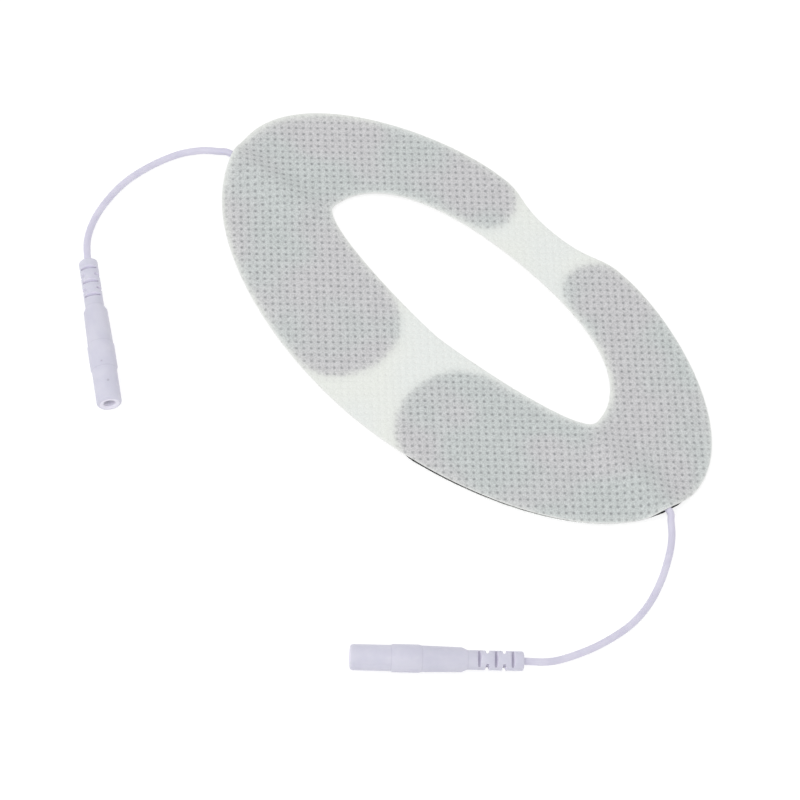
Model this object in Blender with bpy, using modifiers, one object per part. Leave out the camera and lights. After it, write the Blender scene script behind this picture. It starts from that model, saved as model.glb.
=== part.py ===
"""Twin electrode pad: a non-woven ring, two carbon film electrodes on gel, and two leads.

The pad lies flat with its gel on the plane z = 0. X runs along the pad and Y across it,
towards the notch in its narrow side. Each lead comes out at one end of the pad, lies in a
bow on the same plane and ends in a moulded female connector.
"""

import math

import bmesh
import bpy
from mathutils import Matrix, Vector

MM = 0.001
X, Y = 0, 1
LEFT, RIGHT = -1, 1
SIDE_NAMES = {LEFT: "left", RIGHT: "right"}

# Layers, from the skin up
GEL_THICKNESS = 0.9 * MM
FILM_THICKNESS = 0.15 * MM
COVER_THICKNESS = 0.35 * MM
FILM_TOP = GEL_THICKNESS + FILM_THICKNESS

# Distance at which points of one mesh are one point
WELD_DISTANCE = 0.001 * MM

# Outer edge of the cover
PAD_LENGTH = 133.6 * MM
PAD_WIDTH = 71.4 * MM
SIDE_POINT_Y = 3.4 * MM
LOBE_X = 17.2 * MM
NOTCH_DEPTH = 2.9 * MM
TOP_Y = PAD_WIDTH / 2
BOTTOM_Y = -PAD_WIDTH / 2
NOTCH_Y = TOP_Y - NOTCH_DEPTH

# Hole in the cover, placed by the bands and bridges that it leaves
SIDE_BAND = 27.0 * MM
HOLE_SIDE_Y = 2.0 * MM
NARROW_BRIDGE = 11.75 * MM
WIDE_BRIDGE = 28.75 * MM
HOLE_LENGTH = PAD_LENGTH - 2 * SIDE_BAND
HOLE_TOP_Y = NOTCH_Y - NARROW_BRIDGE
HOLE_BOTTOM_Y = BOTTOM_Y + WIDE_BRIDGE

# How far each stretch of an edge holds its first and its last heading, as shares of its way
LOWER_EDGE_HOLD = (0.445, 0.627)
LOBE_EDGE_HOLD = (0.572, 0.365)
NOTCH_EDGE_HOLD = (0.341, 0.607)
HOLE_ROOF_HOLD = (0.802, 0.413)
HOLE_FLOOR_HOLD = (0.61, 0.15)
HALVINGS = 40

# Electrodes: how far the films stay inside the cover's outer edge and its hole's edge, how
# far the gel stays inside the films, and the gaps between the two electrodes
FILM_MARGIN = 0.55 * MM
FILM_HOLE_MARGIN = 0.8 * MM
GEL_INSET = 0.3 * MM
NARROW_GAP = 19.9 * MM
NARROW_END_Y = 27.2 * MM
NARROW_END_ROUND = 7.3 * MM
WIDE_GAP = 11.0 * MM
WIDE_END_Y = -19.8 * MM
WIDE_END_ROUND = 12.0 * MM
CORNER_FULLNESS = 0.39
OUTLINE_STEPS = 14

# The electrodes were laid a little askew and the right one a little stretched across the
# pad, so it shows past the cover's lower edge
ELECTRODE_CENTRE_X = HOLE_LENGTH / 2
ELECTRODE_LAY = {
    LEFT: {"shift": (0.6 * MM, -0.2 * MM), "turn": 0.75, "stretch": 1.0},
    RIGHT: {"shift": (0.3 * MM, -0.15 * MM), "turn": 0.4, "stretch": 1.012},
}

# Leads
LEAD_DIAMETER = 1.6 * MM
LEAD_EXIT_INSET = 0.8 * MM
LEAD_EXIT_X = PAD_LENGTH / 2 - LEAD_EXIT_INSET
LEAD_EXIT_Y = {LEFT: -5.0 * MM, RIGHT: -3.7 * MM}
LEAD_TILT = math.radians(5.0)
BURIED_LENGTH = 16.0 * MM
SEAT_GAP = 0.05 * MM
LEAD_POINT_SPACING = 2.2 * LEAD_DIAMETER
ROUTE_STEPS = 40
STRAIGHT_STEPS = 3
BURIED_Z = FILM_TOP + SEAT_GAP + LEAD_DIAMETER / 2
TABLE_Z = LEAD_DIAMETER / 2 + SEAT_GAP

# Stripped ends of the leads
CONDUCTOR_DIAMETER = 0.6 * MM
CONDUCTOR_LENGTH = 7.0 * MM
CONDUCTOR_DROP = 1.8 * MM
STRAND_COUNT = 6
POINTS_PER_STRAND = 3
STRAND_RELIEF = 0.12
STRAND_LAY = 7.2 * MM
STEPS_PER_LAY = 18
CONDUCTOR_Z = FILM_TOP + SEAT_GAP + CONDUCTOR_DIAMETER / 2

# Drape of the cover over the buried lead
DRAPE_REACH = 5.2 * MM
DRAPE_CLEARANCE = 0.12 * MM
DRAPE_RUN_OUT = 3.0 * MM
DRAPE_ROWS = 14
DRAPE_COLUMN_WIDTH = 2.0 * MM
DRAPE_SHARPNESS = 1.2
DIE_HEIGHT = 4 * (FILM_TOP + LEAD_DIAMETER)

# Connector housing, from its open front end to the end of its strain relief
FRONT_LENGTH = 8.6 * MM
GRIP_LENGTH = 6.6 * MM
BODY_LENGTH = 8.6 * MM
SHOULDER_LENGTH = 1.2 * MM
RELIEF_LENGTH = 12.0 * MM
STEP_LENGTH = 0.5 * MM
FRONT_DIAMETER = 5.55 * MM
GRIP_DIAMETER = 6.0 * MM
BODY_DIAMETER = 5.65 * MM
BODY_END_DIAMETER = 5.3 * MM
RELIEF_DIAMETER = 4.2 * MM
FRONT_ROUND = 0.6 * MM
COLLAR_ROUND = 0.4 * MM
HOUSING_LENGTH = FRONT_LENGTH + GRIP_LENGTH + BODY_LENGTH + SHOULDER_LENGTH + RELIEF_LENGTH
CONNECTOR_Z = max(FRONT_DIAMETER, GRIP_DIAMETER, BODY_DIAMETER) / 2
ROUND_SEGMENTS = 32
ARC_STEPS = 3
SHARP_ANGLE = math.radians(30.0)

# Slots of the strain relief, cut from two sides and turned a quarter from one to the next
SLOT_COUNT = 5
SLOT_FIRST = 2.4 * MM
SLOT_PITCH = 1.79 * MM
SLOT_WALL = 0.25 * MM
SLOT_MOUTH = 0.95 * MM
SLOT_ROOT = 0.65 * MM

# Socket: the mouth in the housing and the metal contact behind it
MOUTH_DIAMETER = 2.6 * MM
MOUTH_DEPTH = 2.5 * MM
MOUTH_CHAMFER = 0.25 * MM
PIN_BORE_DIAMETER = 2.1 * MM
PIN_BORE_DEPTH = 12.5 * MM
SLEEVE_DIAMETER = 3.0 * MM
SLEEVE_CHAMFER = 0.15 * MM
SLIT_WIDTH = 0.4 * MM
SLIT_LENGTH = 8.0 * MM
BARREL_DIAMETER = 2.3 * MM
BARREL_BORE_DIAMETER = 1.3 * MM
BARREL_LENGTH = 6.0 * MM
CRIMP_DEPTH = 5.0 * MM
WEB_THICKNESS = 1.0 * MM
CONTACT_FIT = 0.05 * MM
LEAD_FIT = 0.1 * MM
LEAD_BORE_DIAMETER = LEAD_DIAMETER + 2 * LEAD_FIT
MOUTH_END = HOUSING_LENGTH - MOUTH_DEPTH
CONTACT_FRONT = MOUTH_END - CONTACT_FIT
WEB_TOP = CONTACT_FRONT - PIN_BORE_DEPTH
WEB_BOTTOM = WEB_TOP - WEB_THICKNESS
CONTACT_BACK = WEB_BOTTOM - BARREL_LENGTH
JACKET_END = CONTACT_BACK - 2 * CONTACT_FIT

# Where each connector lies: the end of its strain relief, its heading and its roll
CONNECTORS = {
    LEFT: {"end": (-66.9 * MM, -49.8 * MM), "heading": -37.8, "roll": 10.0},
    RIGHT: {"end": (68.2 * MM, -54.7 * MM), "heading": -136.2, "roll": -15.0},
}

# Bow of each lead between the pad and its connector, point by point, with its height
BOWS = {
    LEFT: [
        (-68.2 * MM, -6.3 * MM, 1.55 * MM),
        (-71.4 * MM, -8.8 * MM, 1.05 * MM),
        (-74.4 * MM, -13.4 * MM, TABLE_Z),
        (-76.5 * MM, -20.3 * MM, TABLE_Z),
        (-77.3 * MM, -27.4 * MM, TABLE_Z),
        (-76.6 * MM, -33.9 * MM, TABLE_Z),
        (-75.0 * MM, -39.5 * MM, TABLE_Z),
        (-71.9 * MM, -44.9 * MM, 1.5 * MM),
    ],
    RIGHT: [
        (68.0 * MM, -5.4 * MM, 1.55 * MM),
        (70.4 * MM, -7.8 * MM, 1.1 * MM),
        (72.8 * MM, -11.4 * MM, TABLE_Z),
        (75.6 * MM, -17.2 * MM, TABLE_Z),
        (77.6 * MM, -23.6 * MM, TABLE_Z),
        (78.2 * MM, -30.0 * MM, TABLE_Z),
        (77.4 * MM, -35.8 * MM, TABLE_Z),
        (75.9 * MM, -41.2 * MM, TABLE_Z),
        (73.6 * MM, -46.9 * MM, 1.15 * MM),
        (71.6 * MM, -50.7 * MM, 1.95 * MM),
    ],
}

# Colour, roughness and metallic value of each material
MATERIALS = {
    "nonwoven": ((0.80, 0.81, 0.80, 1.0), 0.9, 0.0),
    "carbon_film": ((0.03, 0.03, 0.035, 1.0), 0.6, 0.0),
    "gel": ((0.75, 0.78, 0.74, 1.0), 0.2, 0.0),
    "lead_pvc": ((0.62, 0.58, 0.76, 1.0), 0.45, 0.0),
    "connector_pvc": ((0.66, 0.63, 0.78, 1.0), 0.5, 0.0),
    "nickel": ((0.72, 0.71, 0.68, 1.0), 0.3, 1.0),
    "tinsel": ((0.80, 0.50, 0.33, 1.0), 0.4, 1.0),
}


def start_scene():
    """Remove what the scene holds and make the collections of the parts and the cutters."""
    for obj in list(bpy.data.objects):
        bpy.data.objects.remove(obj, do_unlink=True)
    collections = []
    for name in ("electrode_pad", "cutters"):
        collection = bpy.data.collections.new(name)
        bpy.context.scene.collection.children.link(collection)
        collections.append(collection)
    return collections


def make_materials():
    """Make one Principled material for each entry of the table."""
    materials = {}
    for name, (colour, roughness, metallic) in MATERIALS.items():
        material = bpy.data.materials.new(name)
        material.use_nodes = True
        shader = material.node_tree.nodes["Principled BSDF"]
        shader.inputs["Base Color"].default_value = colour
        shader.inputs["Roughness"].default_value = roughness
        shader.inputs["Metallic"].default_value = metallic
        material.diffuse_color = colour
        materials[name] = material
    return materials


def add_object(name, data, collection, material=None):
    """Put new data into a collection as an object."""
    obj = bpy.data.objects.new(name, data)
    collection.objects.link(obj)
    if material:
        data.materials.append(material)
    return obj


def hide_cutter(obj):
    """Show a cutter as wire only, and never render it."""
    obj.display_type = "WIRE"
    obj.hide_render = True


def add_boolean(obj, cutter, operation):
    """Cut obj with the cutter, or keep what the two share."""
    modifier = obj.modifiers.new(cutter.name, "BOOLEAN")
    modifier.object = cutter
    modifier.operation = operation
    modifier.solver = "EXACT"


def mesh_from_curve(curve_object, name, collection, material=None):
    """Turn a curve object into a mesh object with its caps welded on."""
    bpy.context.view_layer.update()
    evaluated = curve_object.evaluated_get(bpy.context.evaluated_depsgraph_get())
    mesh = bpy.data.meshes.new_from_object(evaluated)
    welded = bmesh.new()
    welded.from_mesh(mesh)
    bmesh.ops.remove_doubles(welded, verts=welded.verts, dist=WELD_DISTANCE)
    welded.to_mesh(mesh)
    welded.free()
    mesh.materials.clear()
    obj = add_object(name, mesh, collection, material)
    obj.matrix_world = curve_object.matrix_world.copy()
    bpy.data.objects.remove(curve_object, do_unlink=True)
    return obj


def bend(start, end, leaves, arrives, hold):
    """A cubic stretch that leaves start along one axis and reaches end along another."""
    first = start.copy()
    first[leaves] += hold[0] * (end[leaves] - start[leaves])
    last = end.copy()
    last[arrives] -= hold[1] * (end[arrives] - start[arrives])
    return [start, first, last, end]


def corner(start, heading, end, arrival):
    """A rounded corner from start, leaving along heading, to end, reached along arrival."""
    hold = CORNER_FULLNESS * (end - start).length
    return [start, start + heading.normalized() * hold, end - arrival.normalized() * hold, end]


def split(stretch, share):
    """Cut a cubic stretch in two at a share of its parameter."""
    a, b, c, d = stretch
    ab, bc, cd = a.lerp(b, share), b.lerp(c, share), c.lerp(d, share)
    abc, bcd = ab.lerp(bc, share), bc.lerp(cd, share)
    middle = abc.lerp(bcd, share)
    return [a, ab, abc, middle], [middle, bcd, cd, d]


def split_at_x(stretch, x):
    """Cut a cubic stretch in two where it crosses x."""
    low, high = 0.0, 1.0
    rises = stretch[3].x > stretch[0].x
    for _ in range(HALVINGS):
        middle = (low + high) / 2
        crossing = split(stretch, middle)[0][3].x
        if (crossing < x) == rises:
            low = middle
        else:
            high = middle
    return split(stretch, (low + high) / 2)


def mirrored(stretches):
    """The same stretches on the other side of x = 0, run in the other direction."""
    return [[Vector((-point.x, point.y)) for point in reversed(stretch)] for stretch in reversed(stretches)]


def outer_half(inset=0.0):
    """Right half of the cover's outer edge, from the wide side round to the notch."""
    bottom = Vector((0.0, BOTTOM_Y + inset))
    side = Vector((PAD_LENGTH / 2 - inset, SIDE_POINT_Y))
    lobe = Vector((LOBE_X, TOP_Y - inset))
    notch = Vector((0.0, NOTCH_Y - inset))
    return [
        bend(bottom, side, X, Y, LOWER_EDGE_HOLD),
        bend(side, lobe, Y, X, LOBE_EDGE_HOLD),
        bend(lobe, notch, X, X, NOTCH_EDGE_HOLD),
    ]


def hole_half(inset=0.0):
    """Right half of the hole's edge, from its narrow bridge round to the wide one."""
    top = Vector((0.0, HOLE_TOP_Y + inset))
    side = Vector((HOLE_LENGTH / 2 + inset, HOLE_SIDE_Y))
    bottom = Vector((0.0, HOLE_BOTTOM_Y - inset))
    return [
        bend(top, side, X, Y, HOLE_ROOF_HOLD),
        bend(side, bottom, Y, X, HOLE_FLOOR_HOLD),
    ]


def electrode_edge(inset=0.0):
    """Edge of the right electrode: the cover's two edges, inset, joined by rounded ends."""
    lower, upper, _ = outer_half(FILM_MARGIN + inset)
    roof, floor = hole_half(FILM_HOLE_MARGIN + inset)
    lower = split_at_x(lower, WIDE_GAP / 2 + WIDE_END_ROUND)[1]
    roof = split_at_x(roof, NARROW_GAP / 2 + NARROW_END_ROUND)[1]
    floor = split_at_x(floor, WIDE_GAP / 2 + WIDE_END_ROUND)[0]
    narrow_end = Vector((NARROW_GAP / 2 + inset, NARROW_END_Y))
    wide_end = Vector((WIDE_GAP / 2 + inset, WIDE_END_Y))
    down = Vector((0.0, -1.0))
    return [
        lower,
        upper,
        corner(upper[3], upper[3] - upper[2], narrow_end, down),
        corner(narrow_end, down, roof[0], roof[1] - roof[0]),
        roof,
        floor,
        corner(floor[3], floor[3] - floor[2], wide_end, down),
        corner(wide_end, down, lower[0], lower[1] - lower[0]),
    ]


def add_outline(curve, stretches, shift):
    """Add a closed Bezier spline made of cubic stretches, moved by shift."""
    spline = curve.splines.new("BEZIER")
    spline.bezier_points.add(len(stretches) - 1)
    for index, stretch in enumerate(stretches):
        point = spline.bezier_points[index]
        point.handle_left_type = "FREE"
        point.handle_right_type = "FREE"
        point.co = (*(stretch[0] + shift), 0.0)
        point.handle_right = (*(stretch[1] + shift), 0.0)
        point.handle_left = (*(stretches[index - 1][2] + shift), 0.0)
    spline.use_cyclic_u = True


def flat_curve(name, outlines, thickness, collection, shift=Vector((0.0, 0.0))):
    """A flat piece with the given outlines, centred on its own origin in height."""
    curve = bpy.data.curves.new(name, "CURVE")
    curve.dimensions = "2D"
    curve.fill_mode = "BOTH"
    curve.resolution_u = OUTLINE_STEPS
    curve.extrude = thickness / 2
    for stretches in outlines:
        add_outline(curve, stretches, shift)
    return add_object(name, curve, collection)


def make_electrode_layer(name, side, inset, bottom, thickness, collection, material):
    """One flat layer of an electrode, stretched, turned and shifted as it was laid."""
    edge = electrode_edge(inset)
    if side == LEFT:
        edge = mirrored(edge)
    centre = Vector((side * ELECTRODE_CENTRE_X, 0.0))
    layer = flat_curve(name, [edge], thickness, collection, shift=-centre)
    layer.data.materials.append(material)
    lay = ELECTRODE_LAY[side]
    layer.location = (*(centre + Vector(lay["shift"])), bottom + thickness / 2)
    layer.rotation_euler.z = math.radians(lay["turn"])
    layer.scale.y = lay["stretch"]


def make_electrode(side, collection, materials):
    """The gel layer of an electrode and the carbon film on it."""
    name = SIDE_NAMES[side]
    gel, film = f"gel_pad_{name}", f"carbon_film_{name}"
    make_electrode_layer(gel, side, GEL_INSET, 0.0, GEL_THICKNESS, collection, materials["gel"])
    carbon = materials["carbon_film"]
    make_electrode_layer(film, side, 0.0, GEL_THICKNESS, FILM_THICKNESS, collection, carbon)


def lead_line_y(x):
    """Y at x of the line that the nearer lead follows under the cover."""
    exit_y = LEAD_EXIT_Y[LEFT] if x < 0 else LEAD_EXIT_Y[RIGHT]
    return exit_y + (LEAD_EXIT_X - abs(x)) * math.tan(LEAD_TILT)


def ease(share):
    """Smooth change from 0 to 1 as share goes from 0 to 1."""
    share = min(1.0, max(0.0, share))
    return share * share * (3.0 - 2.0 * share)


def drape_height(x, y):
    """How far the cover is lifted off the film by the lead and its stripped end."""
    jacket_end = LEAD_EXIT_X - BURIED_LENGTH * math.cos(LEAD_TILT)
    conductor_end = jacket_end - CONDUCTOR_LENGTH
    over_jacket = LEAD_DIAMETER + SEAT_GAP + DRAPE_CLEARANCE
    over_conductor = 2 * CONDUCTOR_DIAMETER
    crest = over_conductor * ease((abs(x) - conductor_end) / DRAPE_RUN_OUT + 1.0)
    crest += (over_jacket - over_conductor) * ease((abs(x) - jacket_end) / DRAPE_RUN_OUT + 1.0)
    aside = abs(y - lead_line_y(x)) / DRAPE_REACH
    if aside >= 1.0:
        return 0.0
    return crest * (0.5 + 0.5 * math.cos(math.pi * aside)) ** DRAPE_SHARPNESS


def drape_columns():
    """X of the sheet's grid lines, close together over the leads."""
    last = PAD_LENGTH / 2 + DRAPE_COLUMN_WIDTH
    first = LEAD_EXIT_X - BURIED_LENGTH - CONDUCTOR_LENGTH - DRAPE_RUN_OUT
    count = math.ceil((last - first) / DRAPE_COLUMN_WIDTH)
    over_lead = [first + (last - first) * step / count for step in range(count + 1)]
    return [-x for x in reversed(over_lead)] + [0.0] + over_lead


def drape_rows():
    """Distance of the sheet's grid lines from the lead's line, close together beside it."""
    beside = [DRAPE_REACH * (2 * step / DRAPE_ROWS - 1) for step in range(DRAPE_ROWS + 1)]
    return [-PAD_WIDTH] + beside + [PAD_WIDTH]


def make_cover(collection, cutters, material):
    """The non-woven ring: a sheet draped over the buried leads, then cut to its outline."""
    columns, rows = drape_columns(), drape_rows()
    sheet = bmesh.new()
    bmesh.ops.create_grid(sheet, x_segments=len(columns) - 1, y_segments=len(rows) - 1, size=1.0)
    for vertex in sheet.verts:
        column = round((vertex.co.x + 1.0) / 2.0 * (len(columns) - 1))
        row = round((vertex.co.y + 1.0) / 2.0 * (len(rows) - 1))
        x = columns[column]
        y = lead_line_y(x) + rows[row]
        vertex.co = (x, y, FILM_TOP + drape_height(x, y))
    mesh = bpy.data.meshes.new("nonwoven_cover")
    sheet.to_mesh(mesh)
    sheet.free()
    cover = add_object("nonwoven_cover", mesh, collection, material)
    wall = cover.modifiers.new("thickness", "SOLIDIFY")
    wall.thickness = COVER_THICKNESS
    wall.offset = 1.0
    outer, hole = outer_half(), hole_half()
    outlines = [outer + mirrored(outer), hole + mirrored(hole)]
    die = flat_curve("cover_die", outlines, DIE_HEIGHT, cutters)
    die = mesh_from_curve(die, "cover_die", cutters)
    hide_cutter(die)
    add_boolean(cover, die, "INTERSECT")


def connector_matrix(side):
    """Place of a connector: local +Z runs from the end of its strain relief to its mouth."""
    place = CONNECTORS[side]
    lay_down = Matrix.Rotation(math.radians(90.0), 4, "Y")
    heading = Matrix.Rotation(math.radians(place["heading"]), 4, "Z")
    roll = Matrix.Rotation(math.radians(place["roll"]), 4, "Z")
    return Matrix.Translation((*place["end"], CONNECTOR_Z)) @ heading @ lay_down @ roll


def smooth_route(points, spacing):
    """Points at an even spacing on a smooth curve through the given points."""
    ends = [2 * points[0] - points[1]] + points + [2 * points[-1] - points[-2]]
    dense = []
    for before, start, end, after in zip(ends, ends[1:], ends[2:], ends[3:]):
        for step in range(ROUTE_STEPS):
            t = step / ROUTE_STEPS
            dense.append(
                start
                + (end - before) * (t / 2)
                + (2 * before - 5 * start + 4 * end - after) * (t * t / 2)
                + (3 * start - 3 * end + after - before) * (t ** 3 / 2)
            )
    dense.append(points[-1])
    lengths = [0.0]
    for start, end in zip(dense, dense[1:]):
        lengths.append(lengths[-1] + (end - start).length)
    count = round(lengths[-1] / spacing)
    even, index = [], 0
    for step in range(count + 1):
        target = lengths[-1] * step / count
        while index < len(dense) - 2 and lengths[index + 1] < target:
            index += 1
        share = (target - lengths[index]) / (lengths[index + 1] - lengths[index])
        even.append(dense[index].lerp(dense[index + 1], share))
    return even


def lead_route(side):
    """The route's own points: under the cover, round the bow and into the connector."""
    outward = Vector((math.cos(LEAD_TILT), -math.sin(LEAD_TILT), 0.0))
    exit_point = Vector((LEAD_EXIT_X, LEAD_EXIT_Y[side], BURIED_Z))
    matrix = connector_matrix(side)
    under_cover, inside = [], []
    for step in range(STRAIGHT_STEPS + 1):
        share = step / STRAIGHT_STEPS
        point = exit_point - outward * (BURIED_LENGTH * (1.0 - share))
        under_cover.append(Vector((side * point.x, point.y, point.z)))
        inside.append(matrix @ Vector((0.0, 0.0, JACKET_END * share)))
    return under_cover + [Vector(point) for point in BOWS[side]] + inside


def make_tube(name, points, diameter, collection, material):
    """A round cord along the points, with filled ends."""
    curve = bpy.data.curves.new(name, "CURVE")
    curve.dimensions = "3D"
    curve.bevel_depth = diameter / 2
    curve.bevel_resolution = 2
    curve.use_fill_caps = True
    spline = curve.splines.new("POLY")
    spline.points.add(len(points) - 1)
    for spline_point, point in zip(spline.points, points):
        spline_point.co = (*point, 1.0)
    return add_object(name, curve, collection, material)


def strand_profile(cutters):
    """Cross-section of the twisted conductor: a ring of round strands."""
    curve = bpy.data.curves.new("strand_profile", "CURVE")
    curve.dimensions = "2D"
    spline = curve.splines.new("POLY")
    count = POINTS_PER_STRAND * STRAND_COUNT
    spline.points.add(count - 1)
    for index, point in enumerate(spline.points):
        angle = -2 * math.pi * index / count
        swell = 1.0 + STRAND_RELIEF * (math.cos(STRAND_COUNT * angle) - 1.0)
        radius = CONDUCTOR_DIAMETER / 2 * swell
        point.co = (radius * math.cos(angle), radius * math.sin(angle), 0.0, 1.0)
    spline.use_cyclic_u = True
    profile = add_object("strand_profile", curve, cutters)
    hide_cutter(profile)
    return profile


def twist_steps(length):
    """Number of steps in which a twisted conductor of this length is drawn."""
    return math.ceil(STEPS_PER_LAY * length / STRAND_LAY)


def make_twisted(name, points, profile, collection, material):
    """A twisted conductor along the points, its strands one turn for each lay length."""
    curve = bpy.data.curves.new(name, "CURVE")
    curve.dimensions = "3D"
    curve.bevel_mode = "OBJECT"
    curve.bevel_object = profile
    curve.use_fill_caps = True
    spline = curve.splines.new("POLY")
    spline.points.add(len(points) - 1)
    previous, turn = points[0], 0.0
    for spline_point, point in zip(spline.points, points):
        turn += 2 * math.pi * (point - previous).length / STRAND_LAY
        spline_point.co = (*point, 1.0)
        spline_point.tilt = turn
        previous = point
    return add_object(name, curve, collection, material)


def bare_conductor_points(side):
    """The stripped end comes out of the jacket's middle and drops onto the film."""
    outward = Vector((math.cos(LEAD_TILT), -math.sin(LEAD_TILT), 0.0))
    start = Vector((LEAD_EXIT_X, LEAD_EXIT_Y[side], 0.0)) - outward * (BURIED_LENGTH + SEAT_GAP)
    points = []
    steps = twist_steps(CONDUCTOR_LENGTH)
    for step in range(steps + 1):
        along = CONDUCTOR_LENGTH * step / steps
        height = BURIED_Z + (CONDUCTOR_Z - BURIED_Z) * ease(along / CONDUCTOR_DROP)
        point = start - outward * along
        points.append(Vector((side * point.x, point.y, height)))
    return points


def arc(centre_radius, centre_height, radius, start_angle, end_angle):
    """Points of a rounded edge in a turned profile, as radius and height."""
    points = []
    for step in range(ARC_STEPS + 1):
        angle = math.radians(start_angle + (end_angle - start_angle) * step / ARC_STEPS)
        points.append((centre_radius + radius * math.cos(angle), centre_height + radius * math.sin(angle)))
    return points


def turned(name, profile, closed, collection, material):
    """A solid turned from a profile of radius and height, run down its outer side."""
    mesh = bpy.data.meshes.new(name)
    edges = [(index, index + 1) for index in range(len(profile) - 1)]
    if closed:
        edges.append((len(profile) - 1, 0))
    mesh.from_pydata([(radius, 0.0, height) for radius, height in profile], edges, [])
    obj = add_object(name, mesh, collection, material)
    screw = obj.modifiers.new("turn", "SCREW")
    screw.steps = ROUND_SEGMENTS
    screw.render_steps = ROUND_SEGMENTS
    screw.use_merge_vertices = True
    screw.merge_threshold = WELD_DISTANCE
    return obj


def housing_profile():
    """Profile of the housing: outside from the mouth to the strain relief, then the bores."""
    step_top = HOUSING_LENGTH - FRONT_LENGTH
    step_bottom = step_top - GRIP_LENGTH
    shoulder_top = step_bottom - BODY_LENGTH
    shoulder_bottom = shoulder_top - SHOULDER_LENGTH
    front, grip, relief = FRONT_DIAMETER / 2, GRIP_DIAMETER / 2, RELIEF_DIAMETER / 2
    outside = arc(front - FRONT_ROUND, HOUSING_LENGTH - FRONT_ROUND, FRONT_ROUND, 90.0, 0.0)
    outside += [
        (front, step_top),
        (grip, step_top - STEP_LENGTH),
        (grip, step_bottom + STEP_LENGTH),
        (BODY_DIAMETER / 2, step_bottom),
        (BODY_END_DIAMETER / 2, shoulder_top),
        (relief, shoulder_bottom),
    ]
    outside += arc(relief - COLLAR_ROUND, COLLAR_ROUND, COLLAR_ROUND, 0.0, -90.0)
    lead_bore = LEAD_BORE_DIAMETER / 2
    barrel_bore = BARREL_DIAMETER / 2 + CONTACT_FIT
    sleeve_bore = SLEEVE_DIAMETER / 2 + CONTACT_FIT
    mouth = MOUTH_DIAMETER / 2
    inside = [
        (lead_bore, 0.0),
        (lead_bore, CONTACT_BACK - CONTACT_FIT),
        (barrel_bore, CONTACT_BACK - CONTACT_FIT),
        (barrel_bore, WEB_BOTTOM - CONTACT_FIT),
        (sleeve_bore, WEB_BOTTOM - CONTACT_FIT),
        (sleeve_bore, MOUTH_END),
        (mouth, MOUTH_END),
        (mouth, HOUSING_LENGTH - MOUTH_CHAMFER),
        (mouth + MOUTH_CHAMFER, HOUSING_LENGTH),
    ]
    return outside + inside


def shade_round(obj):
    """Apply a turned piece's modifiers and shade it smooth, apart from its sharp edges."""
    bpy.context.view_layer.update()
    evaluated = obj.evaluated_get(bpy.context.evaluated_depsgraph_get())
    obj.data = bpy.data.meshes.new_from_object(evaluated)
    obj.modifiers.clear()
    obj.data.name = obj.name
    obj.data.shade_smooth()
    obj.data.set_sharp_from_angle(angle=SHARP_ANGLE)


def make_slot_cutter(index, cutters):
    """Two wedges that cut one slot of the strain relief from opposite sides."""
    root = LEAD_BORE_DIAMETER / 2 + SLOT_WALL
    wedge_height = RELIEF_DIAMETER / 2
    flare = (SLOT_MOUTH - SLOT_ROOT) / (RELIEF_DIAMETER / 2 - root) * wedge_height
    middle = SLOT_FIRST + index * SLOT_PITCH
    quarter = Matrix.Rotation(math.radians(90.0 * (index % 2)), 3, "Z")
    wedges = bmesh.new()
    for side in (LEFT, RIGHT):
        made = bmesh.ops.create_cube(wedges, size=1.0)
        for vertex in made["verts"]:
            outward = vertex.co.x * side + 0.5
            width = SLOT_ROOT + flare * outward
            vertex.co = (
                side * (root + wedge_height * outward),
                vertex.co.y * 2 * RELIEF_DIAMETER,
                middle + vertex.co.z * width,
            )
            vertex.co = quarter @ vertex.co
    mesh = bpy.data.meshes.new(f"slot_{index}")
    wedges.to_mesh(mesh)
    wedges.free()
    cutter = add_object(f"slot_{index}", mesh, cutters)
    hide_cutter(cutter)
    return cutter


def make_housing(side, collection, cutters, material):
    """Connector housing with its slotted strain relief."""
    housing = turned(f"connector_housing_{SIDE_NAMES[side]}", housing_profile(), True, collection, material)
    housing.matrix_world = connector_matrix(side)
    for index in range(SLOT_COUNT):
        slot = make_slot_cutter(index, cutters)
        slot.matrix_world = connector_matrix(side)
        add_boolean(housing, slot, "DIFFERENCE")
    shade_round(housing)


def contact_profile():
    """Profile of the contact: the pin's bore, the sleeve outside, and the crimp barrel."""
    bore, sleeve = PIN_BORE_DIAMETER / 2, SLEEVE_DIAMETER / 2
    barrel, barrel_bore = BARREL_DIAMETER / 2, BARREL_BORE_DIAMETER / 2
    return [
        (0.0, WEB_TOP),
        (bore, WEB_TOP),
        (bore, CONTACT_FRONT - SLEEVE_CHAMFER),
        (bore + SLEEVE_CHAMFER, CONTACT_FRONT),
        (sleeve - SLEEVE_CHAMFER, CONTACT_FRONT),
        (sleeve, CONTACT_FRONT - SLEEVE_CHAMFER),
        (sleeve, WEB_BOTTOM),
        (barrel, WEB_BOTTOM),
        (barrel, CONTACT_BACK),
        (barrel_bore, CONTACT_BACK),
        (barrel_bore, CONTACT_BACK + CRIMP_DEPTH),
        (0.0, CONTACT_BACK + CRIMP_DEPTH),
    ]


def make_slit_cutter(side, cutters):
    """Thin blade that splits the sleeve's front into two spring fingers."""
    blade = bmesh.new()
    size = (SLIT_WIDTH, 2 * SLEEVE_DIAMETER, 2 * SLIT_LENGTH)
    bmesh.ops.create_cube(blade, size=1.0, matrix=Matrix.Diagonal((*size, 1.0)))
    bmesh.ops.translate(blade, verts=blade.verts, vec=(0.0, 0.0, CONTACT_FRONT))
    mesh = bpy.data.meshes.new(f"slit_{SIDE_NAMES[side]}")
    blade.to_mesh(mesh)
    blade.free()
    cutter = add_object(mesh.name, mesh, cutters)
    cutter.matrix_world = connector_matrix(side)
    hide_cutter(cutter)
    return cutter


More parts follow.
